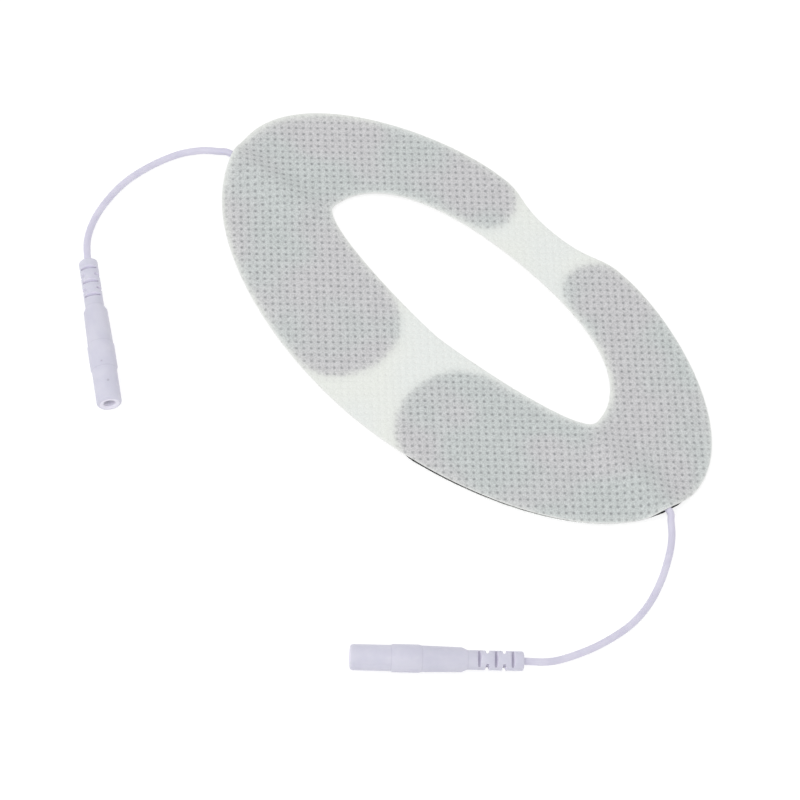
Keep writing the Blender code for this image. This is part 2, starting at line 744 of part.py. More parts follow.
def make_contact(side, collection, cutters, material):
    """Metal contact with its split sleeve."""
    contact = turned(f"socket_contact_{SIDE_NAMES[side]}", contact_profile(), False, collection, material)
    contact.matrix_world = connector_matrix(side)
    add_boolean(contact, make_slit_cutter(side, cutters), "DIFFERENCE")
    shade_round(contact)


def crimped_conductor_points(side):
    """The stripped end of the lead inside the crimp barrel."""
    matrix = connector_matrix(side)
    start = CONTACT_BACK + CONTACT_FIT
    length = CRIMP_DEPTH - 3 * CONTACT_FIT
    steps = twist_steps(length)
    points = []
    for step in range(steps + 1):
        points.append(matrix @ Vector((0.0, 0.0, start + length * step / steps)))
    return points


def make_lead(side, profile, collection, materials):
    """The insulated lead and its two stripped ends."""
    name = SIDE_NAMES[side]
    route = smooth_route(lead_route(side), LEAD_POINT_SPACING)
    make_tube(f"lead_{name}", route, LEAD_DIAMETER, collection, materials["lead_pvc"])
    tinsel = materials["tinsel"]
    make_twisted(f"bare_conductor_{name}", bare_conductor_points(side), profile, collection, tinsel)
    make_twisted(f"crimped_conductor_{name}", crimped_conductor_points(side), profile, collection, tinsel)


def main():
    """Build every piece of the pad."""
    parts, cutters = start_scene()
    materials = make_materials()
    profile = strand_profile(cutters)
    make_cover(parts, cutters, materials["nonwoven"])
    for side in SIDE_NAMES:
        make_electrode(side, parts, materials)
        make_lead(side, profile, parts, materials)
        make_housing(side, parts, cutters, materials["connector_pvc"])
        make_contact(side, parts, cutters, materials["nickel"])


main()
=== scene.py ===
"""Looks of the twin electrode pad: embossed fabric, gel, leads, connectors, light and camera.

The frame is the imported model's: X along the pad, Y across it towards the notch, Z up from
the surface that it lies on. Lengths are in metres.
"""

import math

import bmesh
import bpy
import numpy as np
from mathutils import Matrix, Vector, geometry, kdtree


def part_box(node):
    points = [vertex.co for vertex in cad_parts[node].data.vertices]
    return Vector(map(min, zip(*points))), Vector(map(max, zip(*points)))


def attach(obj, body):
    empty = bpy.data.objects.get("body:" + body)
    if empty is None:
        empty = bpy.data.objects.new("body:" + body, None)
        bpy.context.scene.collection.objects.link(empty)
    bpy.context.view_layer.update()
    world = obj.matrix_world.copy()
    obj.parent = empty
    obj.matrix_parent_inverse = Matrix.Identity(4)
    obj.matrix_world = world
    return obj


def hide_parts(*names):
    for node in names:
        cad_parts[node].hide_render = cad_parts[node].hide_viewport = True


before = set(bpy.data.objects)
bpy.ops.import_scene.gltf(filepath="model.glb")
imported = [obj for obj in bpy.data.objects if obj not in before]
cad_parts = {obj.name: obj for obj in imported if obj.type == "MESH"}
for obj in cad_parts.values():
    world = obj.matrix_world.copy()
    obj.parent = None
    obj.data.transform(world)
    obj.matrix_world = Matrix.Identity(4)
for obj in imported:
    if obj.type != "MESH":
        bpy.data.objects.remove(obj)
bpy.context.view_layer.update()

MM = 0.001
LEFT, RIGHT = -1, 1
SIDE_NAMES = {LEFT: "left", RIGHT: "right"}
BODY = "root"

# Camera, fitted to the photograph's perspective
CAMERA_TARGET = Vector((5.5, -25.13, 1.4)) * MM
CAMERA_DISTANCE = 856.2 * MM
CAMERA_AZIMUTH = math.radians(33.55)
CAMERA_ELEVATION = math.radians(58.53)
CAMERA_ROLL = math.radians(10.53)
CAMERA_LENS = 174.63
CAMERA_SENSOR = 36.0

# Layers
FILM_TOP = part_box("carbon_film_left")[1].z
COVER_THICKNESS = 0.35 * MM

# Leads: what lies under the fabric, then the bow, then what is in the connector
LEAD_DIAMETER = 1.6 * MM
LEAD_EXIT_X = 66.0 * MM
LEAD_EXIT_Y = {LEFT: -5.0 * MM, RIGHT: -3.7 * MM}
LEAD_TILT = math.radians(5.0)
BURIED_LENGTH = 16.0 * MM
CONDUCTOR_LENGTH = 7.0 * MM
CONDUCTOR_DIAMETER = 0.6 * MM
SEAT_GAP = 0.05 * MM
BURIED_Z = FILM_TOP + SEAT_GAP + LEAD_DIAMETER / 2
TABLE_Z = LEAD_DIAMETER / 2 + SEAT_GAP
STRAIGHT_STEPS = 3
JACKET_END = 14.85 * MM
LEAD_POINT_SPACING = 0.7 * MM
BOWS = {
    LEFT: [
        (-68.2 * MM, -6.3 * MM, 1.55 * MM),
        (-71.4 * MM, -8.8 * MM, 1.05 * MM),
        (-74.4 * MM, -13.4 * MM, TABLE_Z),
        (-76.5 * MM, -20.3 * MM, TABLE_Z),
        (-77.3 * MM, -27.4 * MM, TABLE_Z),
        (-76.6 * MM, -33.9 * MM, TABLE_Z),
        (-75.0 * MM, -39.5 * MM, TABLE_Z),
        (-71.9 * MM, -44.9 * MM, 1.5 * MM),
    ],
    RIGHT: [
        (68.0 * MM, -5.4 * MM, 1.55 * MM),
        (70.4 * MM, -7.8 * MM, 1.1 * MM),
        (72.8 * MM, -11.4 * MM, TABLE_Z),
        (75.6 * MM, -17.2 * MM, TABLE_Z),
        (77.6 * MM, -23.6 * MM, TABLE_Z),
        (78.2 * MM, -30.0 * MM, TABLE_Z),
        (77.4 * MM, -35.8 * MM, TABLE_Z),
        (75.9 * MM, -41.2 * MM, TABLE_Z),
        (73.6 * MM, -46.9 * MM, 1.15 * MM),
        (71.6 * MM, -50.7 * MM, 1.95 * MM),
    ],
}

# Connectors: places along them run from the end of the strain relief to the mouth
FRONT_DIAMETER = 5.55 * MM
GRIP_DIAMETER = 6.0 * MM
CONNECTOR_Z = GRIP_DIAMETER / 2
CONNECTORS = {
    LEFT: {"end": (-66.9 * MM, -49.8 * MM), "heading": -37.8},
    RIGHT: {"end": (68.2 * MM, -54.7 * MM), "heading": -136.2},
}
MOULDED_RINGS = (12.0 * MM, 21.8 * MM, 28.4 * MM)
RING_WIDTH = 0.16 * MM
SLOT_COUNT = 5
SLOT_FIRST = 2.4 * MM
SLOT_PITCH = 1.79 * MM
SLOTS_START, SLOTS_END = 1.5 * MM, 11.0 * MM
SLOT_SHADE_WIDTH = 0.41 * MM
SLOT_FACE_RADIUS = 2.0 * MM
MOUTH_START = 30.0 * MM
MOUTH_FACE_RADIUS = 1.65 * MM
HOUSING_EDGE_ROUND = 0.07 * MM
TURNED_SHARP_ANGLE = math.radians(33.0)
STRANDS_SHARP_ANGLE = math.radians(50.0)
MOULD_MARKS = (
    {"along": 27.5 * MM, "turn": -12.0, "on": GRIP_DIAMETER / 2, "radius": 0.22 * MM},
    {"along": 32.4 * MM, "turn": 4.0, "on": FRONT_DIAMETER / 2, "radius": 0.30 * MM},
)
MARK_HEIGHT = 0.06 * MM
MARK_SIDES = 24
MARKS_TURN = {LEFT: 0.0, RIGHT: -110.0}

# Drape of the fabric over a buried lead, and how far it reaches before and behind the lead
DRAPE_BEFORE = {LEFT: 8.5 * MM, RIGHT: 7.0 * MM}
DRAPE_BEHIND = {LEFT: 6.0 * MM, RIGHT: 8.0 * MM}
DRAPE_CLEARANCE = 0.12 * MM
DRAPE_RUN_OUT = 3.0 * MM
DRAPE_SHARPNESS = 1.2

# Embossed dots: a square lattice at 45 degrees to the pad
DOT_PITCH = 1.65 * MM
DOT_ORIGIN = np.array((0.143, -11.936)) * MM
DOT_ANGLE = math.radians(45.0)
DOT_RINGS = (0.16 * MM, 0.31 * MM, 0.50 * MM)
DOT_SIDES = 12
DOT_CORE = 0.12 * MM
DOT_RIM = 0.44 * MM
DOT_DEPTH = 0.16 * MM
PUFF_REACH = 1.0 * MM
PUFF_HEIGHT = 0.03 * MM
DOT_SEED, DOT_DRAWS = 11, 512
EDGE_MARGIN = 0.16 * MM
EDGE_DROP = 0.08 * MM
EDGE_DROP_WIDTH = 0.5 * MM

# Gel: its edge in steps from its underside up, as inset (mm) and share of its height
GEL_EDGE = [(0.30, 0.0), (0.10, 0.06), (0.0, 0.3), (0.0, 0.6), (0.05, 0.85), (0.16, 0.98)]

# Spacing of the points along outlines, and of those on the fabric's underside. Smooth curves
# are worked out in curve steps between two points, and distances in fine steps of an outline.
CURVE_STEPS = 40
FINE_STEPS = 10
EDGE_SPACING = 0.5 * MM
FILM_EDGE_SPACING = 1.0 * MM
GEL_EDGE_SPACING = 0.8 * MM
UNDERSIDE_SPACING = 1.3 * MM
WELD_DISTANCE = 0.001 * MM

# Colours of the fabric: tinted pairs, threads, clouds, dots and cut edge
WHITE_FABRIC = (0.830, 0.853, 0.808, 1.0), (0.815, 0.845, 0.822, 1.0)
GREY_FABRIC = (0.602, 0.598, 0.610, 1.0), (0.572, 0.608, 0.603, 1.0)
THREAD_COLOUR = (0.9, 0.9, 0.9, 1.0)
CLOUD_COLOUR = (0.42, 0.43, 0.43, 1.0)
WHITE_DOT = (0.86, 0.875, 0.845, 1.0)
GREY_DOT = (0.26, 0.27, 0.28, 1.0)
CUT_EDGE_COLOUR = (0.86, 0.865, 0.85, 1.0)

# Colours of the rest, the paler and the deeper of each cloudy pair
ADHESIVE = (0.82, 0.82, 0.79, 1.0), (0.74, 0.74, 0.70, 1.0)
CARBON = (0.02, 0.02, 0.022, 1.0), (0.008, 0.008, 0.009, 1.0)
GEL = (0.88, 0.90, 0.87, 1.0), (0.80, 0.83, 0.80, 1.0)
INSULATION = (0.71, 0.69, 0.81, 1.0), (0.66, 0.64, 0.77, 1.0)
HOUSING = (0.675, 0.668, 0.766, 1.0), (0.636, 0.63, 0.737, 1.0)
# The paler vinyl of the slots and the inside of the mouth is painted light, as if light came through the
# vinyl there
PAINTED_LIGHT_HOLLOWS = (0.84, 0.82, 0.92, 1.0), (0.80, 0.78, 0.89, 1.0)
MARKS = (0.58, 0.56, 0.66, 1.0), (0.53, 0.51, 0.61, 1.0)
NICKEL = (0.93, 0.92, 0.90, 1.0), (0.80, 0.79, 0.77, 1.0)
COPPER = (0.85, 0.50, 0.34, 1.0), (0.60, 0.33, 0.22, 1.0)
# Painted shade along the moulded rings and in the slots' middles darkens towards this colour by these
# shares
PAINTED_GROOVE_SHADE = (0.36, 0.34, 0.44, 1.0)
RING_SHADE, SLOT_SHADE = 0.14, 0.88

# Floor and light: the level of the even light, and of the floor as the camera sees it
FLOOR_SIDE = 8.0
FLOOR_COLOUR = (0.95, 0.95, 0.95, 1.0)
FLOOR_SEEN_COLOUR = (0.4, 0.4, 0.4, 1.0)
FLOOR_SEEN_GLOW = 0.73
WHITE_LIGHT = (1.0, 1.0, 1.0, 1.0)
WORLD_LEVEL = 0.82
KEY_DIRECTION = (-0.12, -0.6, 0.8)
KEY_DISTANCE = 1.2
KEY_SIZE = 0.9
KEY_POWER = 3.4


def ease(share):
    """Smooth change from 0 to 1 as share goes from 0 to 1, for arrays too."""
    share = np.clip(share, 0.0, 1.0)
    return share * share * (3.0 - 2.0 * share)


def curve_between(before, start, end, after, share):
    """The place at a share of the way from start to end, on a smooth curve through all four."""
    return (
        start
        + (end - before) * (share / 2)
        + (2 * before - 5 * start + 4 * end - after) * (share**2 / 2)
        + (3 * start - 3 * end + after - before) * (share**3 / 2)
    )


def add_object(name, data):
    """Put new data into the scene as an object that rides on the pad."""
    obj = bpy.data.objects.new(name, data)
    bpy.context.scene.collection.objects.link(obj)
    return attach(obj, BODY)


# Camera


def make_camera():
    """The photograph's view: a long lens, looking down from the front right."""
    azimuth, elevation = CAMERA_AZIMUTH, CAMERA_ELEVATION
    back = Vector((
        math.sin(azimuth) * math.cos(elevation),
        -math.cos(azimuth) * math.cos(elevation),
        math.sin(elevation),
    ))
    level = Vector((math.cos(azimuth), math.sin(azimuth), 0.0))
    right = level * math.cos(CAMERA_ROLL) + back.cross(level) * math.sin(CAMERA_ROLL)
    data = bpy.data.cameras.new("camera")
    data.lens = CAMERA_LENS
    data.sensor_width = CAMERA_SENSOR
    camera = bpy.data.objects.new("camera", data)
    bpy.context.scene.collection.objects.link(camera)
    place = Matrix((right, back.cross(right), back)).transposed().to_4x4()
    place.translation = CAMERA_TARGET + back * CAMERA_DISTANCE
    camera.matrix_world = place
    bpy.context.scene.camera = camera


# Materials


def add_node(tree, kind, values=None, **settings):
    """Add a shader node. Settings are its properties, values its inputs: numbers or links."""
    node = tree.nodes.new(kind)
    for name, value in settings.items():
        setattr(node, name, value)
    for name, value in (values or {}).items():
        if isinstance(value, bpy.types.NodeSocket):
            tree.links.new(value, node.inputs[name])
        else:
            node.inputs[name].default_value = value
    return node


def attribute(tree, name):
    """A number stored on the mesh's points."""
    return add_node(tree, "ShaderNodeAttribute", attribute_name=name).outputs["Fac"]


def noise(tree, scale, detail=2.0, distortion=0.0, stretch=None, turn=0.0):
    """Noise in the object's own coordinates, finer as scale (per metre) grows."""
    vector = add_node(tree, "ShaderNodeTexCoord").outputs["Object"]
    if stretch:
        values = {"Vector": vector, "Rotation": (0.0, 0.0, math.radians(turn)), "Scale": stretch}
        vector = add_node(tree, "ShaderNodeMapping", values).outputs["Vector"]
    values = {"Vector": vector, "Scale": scale, "Detail": detail, "Distortion": distortion}
    return add_node(tree, "ShaderNodeTexNoise", values).outputs["Fac"]


def remap(tree, value, low, high, to_low=0.0, to_high=1.0):
    """Smooth change from to_low to to_high as value goes from low to high."""
    values = {"Value": value, "From Min": low, "From Max": high, "To Min": to_low, "To Max": to_high}
    node = add_node(tree, "ShaderNodeMapRange", values, interpolation_type="SMOOTHSTEP")
    return node.outputs["Result"]


def calculate(tree, operation, first, second=0.0):
    """One step of arithmetic on one or two numbers or links."""
    return add_node(tree, "ShaderNodeMath", {0: first, 1: second}, operation=operation).outputs[0]


def cloudy_pair(tree, grain, low, high, pale, deep):
    """The deeper colour where the grain is at low, the paler one where it is at high."""
    return mix(tree, remap(tree, grain, low, high), deep, pale)


def mix(tree, factor, first, second, blend="MIX"):
    """Mix two colours, each a value or a link."""
    values = {0: factor, 6: first, 7: second}
    node = add_node(tree, "ShaderNodeMix", values, data_type="RGBA", blend_type=blend)
    return node.outputs[2]


def bump(tree, height, distance, strength=1.0):
    """Normal of a surface whose relief is height times distance."""
    values = {"Height": height, "Distance": distance, "Strength": strength}
    return add_node(tree, "ShaderNodeBump", values).outputs["Normal"]


def new_material(name, **sockets):
    """A Principled material with the sockets that are the same all over it."""
    material = bpy.data.materials.new(name)
    material.use_nodes = True
    shader = material.node_tree.nodes["Principled BSDF"]
    for socket, value in sockets.items():
        shader.inputs[socket.replace("_", " ")].default_value = value
    return material, material.node_tree, shader


def connect(tree, shader, **links):
    """Link what varies over the surface to the shader."""
    for socket, link in links.items():
        tree.links.new(link, shader.inputs[socket.replace("_", " ")])


def fibres(tree):
    """Fine crossing fibres of spun fabric: thin ridges of stretched noise in four headings."""
    total = None
    for turn in (12.0, 57.0, 101.0, 148.0):
        grain = noise(tree, 1700.0, 2.0, 1.5, stretch=(1.0, 0.16, 1.0), turn=turn)
        thread = remap(tree, grain, 0.50, 0.68)
        total = thread if total is None else calculate(tree, "MAXIMUM", total, thread)
    return total


def film_seen(tree):
    """How much the dark film shows through, 0 to 1: a blurred step at its wandering edge."""
    wander = remap(tree, noise(tree, 900.0, 2.0), 0.3, 0.7, -0.2, 0.2)
    depth = calculate(tree, "ADD", attribute(tree, "film_depth"), wander)
    sharp_step = remap(tree, depth, -1.0, 0.6, 0.0, 0.45)
    blurred_step = remap(tree, depth, -2.6, 2.4, 0.0, 0.55)
    return calculate(tree, "ADD", sharp_step, blurred_step)


def with_grain(tree, colour, over_film, threads, cloudy):
    """The fabric's colour with paler threads, darker clouds and a fine sparkle."""
    lighter = mix(tree, 0.45, colour, THREAD_COLOUR)
    colour = mix(tree, calculate(tree, "MULTIPLY", threads, 0.22), colour, lighter)
    patchy = calculate(tree, "MULTIPLY", remap(tree, cloudy, 0.35, 0.65, 0.0, 0.09), over_film)
    colour = mix(tree, patchy, colour, CLOUD_COLOUR, "MULTIPLY")
    sparkle = remap(tree, noise(tree, 3000.0, 2.0), 0.3, 0.7, 0.86, 1.14)
    return mix(tree, remap(tree, over_film, 0.0, 1.0, 0.3, 1.0), colour, sparkle, "MULTIPLY")


def fabric_material():
    """White spun fabric over a dark film: grey where the film lies under it, darkest in the dots."""
    material, tree, shader = new_material(
        "nonwoven", Roughness=0.82, Sheen_Weight=0.15, Sheen_Roughness=0.5, Specular_IOR_Level=0.25
    )
    over_film = film_seen(tree)
    tint = remap(tree, noise(tree, 50.0, 1.0), 0.38, 0.62)
    colour = mix(tree, over_film, mix(tree, tint, *WHITE_FABRIC), mix(tree, tint, *GREY_FABRIC))
    threads, cloudy = fibres(tree), noise(tree, 600.0, 3.0)
    colour = with_grain(tree, colour, over_film, threads, cloudy)
    pressed = remap(tree, attribute(tree, "dot_distance"), 0.08, 0.55, 0.75, 0.0)
    pressed = calculate(tree, "MULTIPLY", pressed, attribute(tree, "dot_strength"))
    colour = mix(tree, pressed, colour, mix(tree, over_film, WHITE_DOT, GREY_DOT))
    lip = remap(tree, attribute(tree, "edge_depth"), 0.0, 0.28, 0.65, 0.0)
    colour = mix(tree, lip, colour, CUT_EDGE_COLOUR)
    relief = calculate(tree, "ADD", threads, calculate(tree, "MULTIPLY", cloudy, 1.5))
    connect(tree, shader, Base_Color=colour, Normal=bump(tree, relief, 0.03 * MM, 0.6))
    return material


def adhesive_material():
    """Underside of the fabric, glazed by its clear adhesive."""
    material, tree, shader = new_material("fabric_underside", Coat_Weight=0.5, Coat_Roughness=0.2)
    grain = noise(tree, 900.0, 3.0)
    colour = cloudy_pair(tree, grain, 0.35, 0.65, *ADHESIVE)
    roughness = remap(tree, grain, 0.3, 0.7, 0.35, 0.6)
    connect(tree, shader, Base_Color=colour, Roughness=roughness, Normal=bump(tree, grain, 0.02 * MM))
    return material


def film_material():
    """Matt black carbon film with a faint mottle."""
    material, tree, shader = new_material("carbon_film", Specular_IOR_Level=0.35)
    grain = noise(tree, 1400.0, 3.0)
    colour = cloudy_pair(tree, grain, 0.3, 0.7, *CARBON)
    roughness = remap(tree, noise(tree, 300.0, 2.0), 0.3, 0.7, 0.45, 0.65)
    connect(tree, shader, Base_Color=colour, Roughness=roughness, Normal=bump(tree, grain, 0.01 * MM))
    return material


def gel_material():
    """Tacky hydrogel: clear, a little cloudy and wet on its face."""
    material, tree, shader = new_material("gel", IOR=1.37, Transmission_Weight=0.75)
    cloudy = noise(tree, 160.0, 3.0)
    colour = cloudy_pair(tree, cloudy, 0.3, 0.7, *GEL)
    roughness = remap(tree, cloudy, 0.3, 0.7, 0.12, 0.25)
    dimples = bump(tree, noise(tree, 450.0, 2.0), 0.04 * MM, 0.5)
    connect(tree, shader, Base_Color=colour, Roughness=roughness, Normal=dimples)
    return material


def vinyl_material(name, colours, roughness, grooves=(), groove_width=0.0, shade=0.0):
    """Soft lavender vinyl, with a faint cloudiness and the orange peel of a moulded skin.

    The grooves run round it at these places along the connector: a dip in its bump, and painted shade in
    the middle, darker by shade.
    """
    material, tree, shader = new_material(
        name,
        Subsurface_Weight=0.25,
        Subsurface_Radius=(1.0, 0.9, 1.0),
        Subsurface_Scale=0.4 * MM,
        Specular_IOR_Level=0.4,
    )
    cloudy = noise(tree, 260.0, 2.0)
    colour = cloudy_pair(tree, cloudy, 0.35, 0.65, *colours)
    sheen = remap(tree, cloudy, 0.3, 0.7, roughness - 0.05, roughness + 0.06)
    relief = calculate(tree, "MULTIPLY", noise(tree, 2200.0, 2.0), 0.1)
    for place in grooves:
        offset = calculate(tree, "SUBTRACT", attribute(tree, "along"), place / MM)
        aside = calculate(tree, "ABSOLUTE", offset)
        groove_dip_and_shade = remap(tree, aside, groove_width / MM / 4, groove_width / MM, 1.0, 0.0)
        # Painted shade in the middle of the groove
        colour = mix(tree, calculate(tree, "MULTIPLY", groove_dip_and_shade, shade), colour, PAINTED_GROOVE_SHADE)
        relief = calculate(tree, "SUBTRACT", relief, groove_dip_and_shade)
    connect(tree, shader, Base_Color=colour, Roughness=sheen, Normal=bump(tree, relief, 0.05 * MM, 0.5))
    return material


def metal_material(name, colours, roughness):
    """Plated or bare metal with fine drawn marks."""
    material, tree, shader = new_material(name, Metallic=1.0)
    grain = noise(tree, 1500.0, 3.0)
    colour = cloudy_pair(tree, grain, 0.3, 0.7, *colours)
    marks = remap(tree, grain, 0.3, 0.7, roughness - 0.08, roughness + 0.08)
    connect(tree, shader, Base_Color=colour, Roughness=marks, Normal=bump(tree, grain, 0.004 * MM))
    return material


# Outlines of the flat layers, read from the frame


def rim_loops(node):
    """Closed outlines of a flat layer, as arrays of X and Y, longest first."""
    rim = bmesh.new()
    rim.from_mesh(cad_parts[node].data)
    bmesh.ops.remove_doubles(rim, verts=rim.verts, dist=WELD_DISTANCE)
    rim.normal_update()
    neighbours = {}
    for edge in rim.edges:
        heights = sorted(face.normal.z for face in edge.link_faces)
        if heights[0] < -0.7 and abs(heights[1]) < 0.3:
            first, second = edge.verts
            neighbours.setdefault(first, []).append(second)
            neighbours.setdefault(second, []).append(first)
    loops = []
    while neighbours:
        start = next(iter(neighbours))
        loop, point, previous = [start], start, None
        while True:
            ahead = [other for other in neighbours.pop(point) if other is not previous]
            previous, point = point, ahead[0]
            if point is start:
                break
            loop.append(point)
        loops.append(np.array([vertex.co[:2] for vertex in loop]))
    rim.free()
    return sorted(loops, key=loop_length, reverse=True)


def loop_length(loop):
    """Length round a closed outline."""
    return np.linalg.norm(np.roll(loop, -1, axis=0) - loop, axis=1).sum()


def loop_area(loop):
    """Area inside a closed outline, positive if it runs anticlockwise."""
    ahead = np.roll(loop, -1, axis=0)
    return (loop[:, 0] * ahead[:, 1] - loop[:, 1] * ahead[:, 0]).sum() / 2


def without_straight_points(loop):
    """The outline without the points that lie on a straight run."""
    behind = loop - np.roll(loop, 1, axis=0)
    ahead = np.roll(loop, -1, axis=0) - loop
    turn = np.arctan2(
        behind[:, 0] * ahead[:, 1] - behind[:, 1] * ahead[:, 0],
        (behind * ahead).sum(axis=1),
    )
    return loop[np.abs(turn) > math.radians(0.2)]


def smooth_loop(loop, spacing):
    """Points at an even spacing on a smooth closed curve through the outline, anticlockwise."""
    loop = without_straight_points(loop)
    if loop_area(loop) < 0:
        loop = loop[::-1]
    before, end, after = np.roll(loop, 1, axis=0), np.roll(loop, -1, axis=0), np.roll(loop, -2, axis=0)
    share = (np.arange(CURVE_STEPS) / CURVE_STEPS)[None, :, None]
    stretches = [points[:, None] for points in (before, loop, end, after)]
    dense = curve_between(*stretches, share).reshape(-1, 2)
    closed = np.vstack([dense, dense[:1]])
    lengths = np.concatenate([[0.0], np.cumsum(np.linalg.norm(np.diff(closed, axis=0), axis=1))])
    targets = np.linspace(0.0, lengths[-1], round(lengths[-1] / spacing), endpoint=False)
    return np.column_stack([np.interp(targets, lengths, closed[:, axis]) for axis in (0, 1)])


def depth_inside(points, loop):
    """Distance from each point to an anticlockwise outline, positive inside it."""
    along = np.roll(loop, -1, axis=0) - loop
    share = (np.arange(FINE_STEPS) / FINE_STEPS)[None, :, None]
    samples = (loop[:, None] + along[:, None] * share).reshape(-1, 2)
    tree = kdtree.KDTree(len(samples))
    for index, (x, y) in enumerate(samples):
        tree.insert((x, y, 0.0), index)
    tree.balance()
    nearest = np.array([tree.find((x, y, 0.0))[1] for x, y in points])
    offset = points - samples[nearest]
    heading = along[nearest // FINE_STEPS]
    inside = heading[:, 0] * offset[:, 1] > heading[:, 1] * offset[:, 0]
    return np.where(inside, 1.0, -1.0) * np.linalg.norm(offset, axis=1)


# Fabric


def on_each_side(values, points):
    """The left or the right value for each point, by the side that it is on."""
    return np.where(points[:, 0] < 0.0, values[LEFT], values[RIGHT])


def drape_height(points):
    """How far the fabric is lifted off the film by the leads and their stripped ends."""
    x, y = np.abs(points[:, 0]), points[:, 1]
    jacket_end = LEAD_EXIT_X - BURIED_LENGTH * math.cos(LEAD_TILT)
    conductor_end = jacket_end - CONDUCTOR_LENGTH
    over_jacket = LEAD_DIAMETER + SEAT_GAP + DRAPE_CLEARANCE
    over_conductor = 2 * CONDUCTOR_DIAMETER
    crest = over_conductor * ease((x - conductor_end) / DRAPE_RUN_OUT + 1.0)
    crest += (over_jacket - over_conductor) * ease((x - jacket_end) / DRAPE_RUN_OUT + 1.0)
    offset = y - on_each_side(LEAD_EXIT_Y, points) - (LEAD_EXIT_X - x) * math.tan(LEAD_TILT)
    before, behind = on_each_side(DRAPE_BEFORE, points), on_each_side(DRAPE_BEHIND, points)
    aside = np.clip(np.abs(offset) / np.where(offset < 0.0, before, behind), 0.0, 1.0)
    return crest * (0.5 + 0.5 * np.cos(np.pi * aside)) ** DRAPE_SHARPNESS


def lattice_axes():
    """The two steps from one dot to the next."""
    cosine, sine = math.cos(DOT_ANGLE), math.sin(DOT_ANGLE)
    return np.array(((cosine, sine), (cosine, -sine))) * DOT_PITCH


def lattice_cells(points):
    """The dot nearest to each point, as whole steps, and the distance to its centre."""
    steps = (points - DOT_ORIGIN) @ lattice_axes().T / DOT_PITCH**2
    cells = np.round(steps)
    return cells.astype(int), np.linalg.norm(steps - cells, axis=1) * DOT_PITCH


def dot_variation(cells):
    """A number from 0 to 1 for each dot, the same each time."""
    draws = np.random.default_rng(DOT_SEED).random((DOT_DRAWS, DOT_DRAWS))
    return draws[cells[:, 0] % DOT_DRAWS, cells[:, 1] % DOT_DRAWS]


def fabric_points(outer, hole):
    """Points that carry the fabric's relief: rings round each dot and the middles between."""
    axes = lattice_axes()
    reach = int(np.abs(outer).max() / DOT_PITCH * 1.5)
    steps = np.arange(-reach, reach + 1)
    cells = np.stack(np.meshgrid(steps, steps), axis=-1).reshape(-1, 2)
    template = [(0.0, 0.0), axes[0] / 2, axes[1] / 2, axes.sum(axis=0) / 2]
    for ring, radius in enumerate(DOT_RINGS):
        for side in range(DOT_SIDES):
            angle = 2 * math.pi * (side + 0.5 * (ring % 2)) / DOT_SIDES
            template.append((radius * math.cos(angle), radius * math.sin(angle)))
    points = DOT_ORIGIN + (cells @ axes)[:, None, :] + np.array(template)[None, :, :]
    points = points.reshape(-1, 2)
    low, high = outer.min(axis=0), outer.max(axis=0)
    points = points[((points > low) & (points < high)).all(axis=1)]
    inside = (depth_inside(points, outer) > EDGE_MARGIN) & (depth_inside(points, hole) < -EDGE_MARGIN)
    return points[inside]


def underside_points(outer, hole):
    """An even grid of points on the fabric's underside."""
    low, high = outer.min(axis=0), outer.max(axis=0)
    xs = np.arange(low[0], high[0], UNDERSIDE_SPACING)
    ys = np.arange(low[1], high[1], UNDERSIDE_SPACING)
    points = np.stack(np.meshgrid(xs, ys), axis=-1).reshape(-1, 2)
    inside = (depth_inside(points, outer) > EDGE_MARGIN) & (depth_inside(points, hole) < -EDGE_MARGIN)
    return points[inside]


def triangulate(points, outer, hole):
    """Triangles over the points, inside one outline and outside the other.

    Returns the points, the triangles and where each of the outlines' points went.
    """
    edges, first = [], 0
    for loop in (outer, hole):
        count = len(loop)
        edges += [(first + step, first + (step + 1) % count) for step in range(count)]
        first += count
    flat = [Vector(point) for point in np.vstack([outer, hole, points]) / MM]
    made = geometry.delaunay_2d_cdt(flat, edges, [], 1, WELD_DISTANCE, True)
    places = np.array([point[:] for point in made[0]]) * MM
    faces = np.array(made[2])
    middles = places[faces].mean(axis=1)
    faces = faces[(depth_inside(middles, outer) > 0.0) & (depth_inside(middles, hole) < 0.0)]
    where = {origin: index for index, origins in enumerate(made[3]) for origin in origins}
    return places, faces.tolist(), [where[index] for index in range(first)]


def fabric_top(points, edge_depth):
    """Height of the fabric's face: lifted by the leads, pressed at its dots and soft at its edge."""
    cells, distance = lattice_cells(points)
    strength = 0.75 + 0.5 * dot_variation(cells)
    pressed = DOT_DEPTH * strength * (1.0 - ease((distance - DOT_CORE) / (DOT_RIM - DOT_CORE)))
    puffed = PUFF_HEIGHT * ease((distance - DOT_RIM) / (PUFF_REACH - DOT_RIM))
    edge = EDGE_DROP * (1.0 - ease(edge_depth / EDGE_DROP_WIDTH))
    return FILM_TOP + COVER_THICKNESS + drape_height(points) - pressed + puffed - edge


